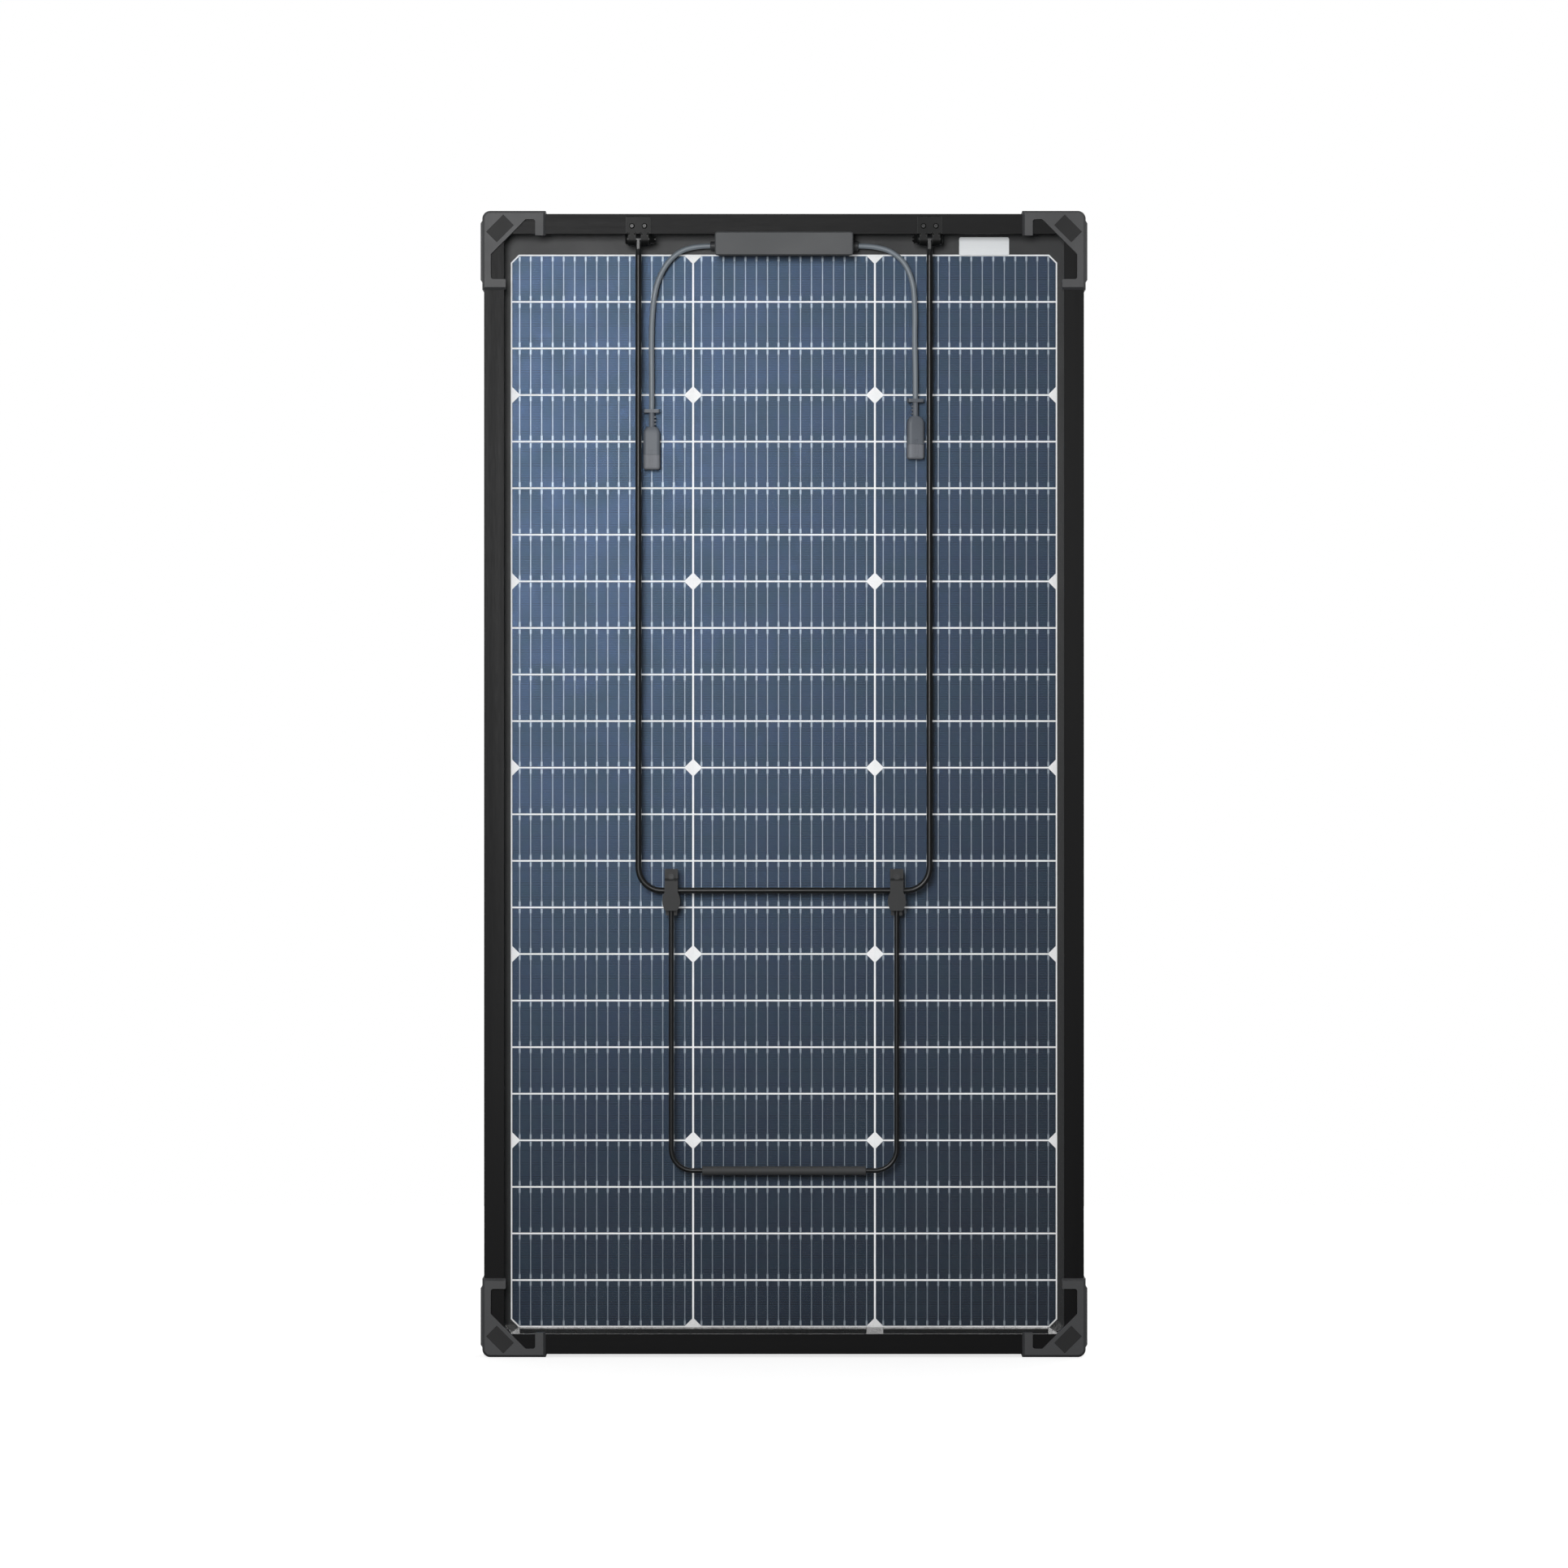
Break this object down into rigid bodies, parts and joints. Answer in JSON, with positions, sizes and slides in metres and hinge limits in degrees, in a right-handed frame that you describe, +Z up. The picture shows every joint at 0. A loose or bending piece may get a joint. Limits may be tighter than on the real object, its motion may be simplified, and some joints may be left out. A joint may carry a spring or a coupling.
{
  "type": "framed bifacial solar panel with folding stand",
  "caption": "Framed glass solar panel with corner guards, a junction box with capped plug-in leads, and a hinged wire stand with a folding extension.",
  "frame": {"origin": "on the ground under the middle of the upright panel, at half its overall depth", "axes": "+Z up the panel's height, +Y out of the glass side, +X to the right seen from behind"},
  "size_m": [0.61, 0.04, 1.152],
  "materials": {
    "frame_black": "black anodised",
    "glass_front": "low-iron tempered",
    "encapsulant": "clear",
    "rear_film": "clear satin film",
    "silicon": "dark blue cell",
    "ribbon": "tinned wire",
    "grid_white": "white print",
    "margin_dark": "dark print",
    "seal": "matt black",
    "key_metal": "as cast",
    "guard_plastic": "dark grey moulding",
    "pad_rubber": "inlaid pad",
    "plate_alloy": "bare satin plate",
    "box_plastic": "grey-black moulding",
    "box_seal": "soft seal",
    "contact_metal": "plated",
    "diode_body": "moulded",
    "lead_jacket": "satin cable jacket",
    "connector_plastic": "grey moulding",
    "cap_plastic": "grey moulding",
    "black_steel": "black coated steel",
    "wire_steel": "powder-coated steel wire",
    "bush_nylon": "nylon",
    "grip_rubber": "soft sleeve",
    "clip_plastic": "moulded nylon"
  },
  "bodies": {
    "root": {"frame_rail_left": "frame_black", "frame_rail_right": "frame_black", "frame_rail_top": "frame_black", "frame_rail_bottom": "frame_black", "corner_keys": "key_metal", "front_glass": "glass_front", "front_encapsulant": "encapsulant", "rear_encapsulant": "encapsulant", "rear_sheet": "rear_film", "cells_left": "silicon", "cells_middle": "silicon", "cells_right": "silicon", "ribbons_left": "ribbon", "ribbons_middle": "ribbon", "ribbons_right": "ribbon", "bus_ribbons": "ribbon", "white_grid": "grid_white", "dark_margin": "margin_dark", "edge_seal": "seal", "corner_guard_top_left": "guard_plastic", "corner_guard_top_right": "guard_plastic", "corner_guard_bottom_left": "guard_plastic", "corner_guard_bottom_right": "guard_plastic", "guard_pads": "pad_rubber", "label_plate": "plate_alloy", "junction_box_base": "box_plastic", "junction_box_lid": "box_plastic", "cable_gland_left": "box_plastic", "cable_gland_right": "box_plastic", "box_gasket": "box_seal", "box_adhesive": "box_seal", "terminals": "contact_metal", "contact_left": "contact_metal", "contact_right": "contact_metal", "bypass_diodes": "diode_body", "lead_left": "lead_jacket", "lead_right": "lead_jacket", "connector_collar_left": "connector_plastic", "connector_collar_right": "connector_plastic", "connector_shell_left": "connector_plastic", "connector_shell_right": "connector_plastic", "hinge_bracket_left": "black_steel", "hinge_bracket_right": "black_steel", "bracket_rivets": "black_steel", "hinge_bolts": "black_steel", "hinge_nuts": "black_steel", "hinge_washers": "black_steel", "hinge_bushes": "bush_nylon"},
    "stand": {"stand_rod": "wire_steel"},
    "extension": {"extension_rod": "wire_steel", "grip_sleeve": "grip_rubber", "clip_front_left": "clip_plastic", "clip_front_right": "clip_plastic", "clip_back_left": "clip_plastic", "clip_back_right": "clip_plastic", "clip_screws": "black_steel", "clip_pins": "black_steel"},
    "cap_left": {"dust_cap_left": "cap_plastic"},
    "cap_right": {"dust_cap_right": "cap_plastic"}
  },
  "joints": [
    {"name": "stand_hinge", "type": "hinge", "parent": "root", "child": "stand", "pos_m": [0, -0.012, 1.124], "axis": [-1, 0, 0], "range_deg": [0, 75]},
    {"name": "extension_hinge", "type": "hinge", "parent": "stand", "child": "extension", "pos_m": [0, -0.012, 0.4687], "axis": [-1, 0, 0], "range_deg": [0, 180]},
    {"name": "cap_left_slide", "type": "slide", "parent": "root", "child": "cap_left", "axis": [0, 0, -1], "range_m": [0, 0.027]},
    {"name": "cap_right_slide", "type": "slide", "parent": "root", "child": "cap_right", "axis": [0, 0, -1], "range_m": [0, 0.027]}
  ]
}
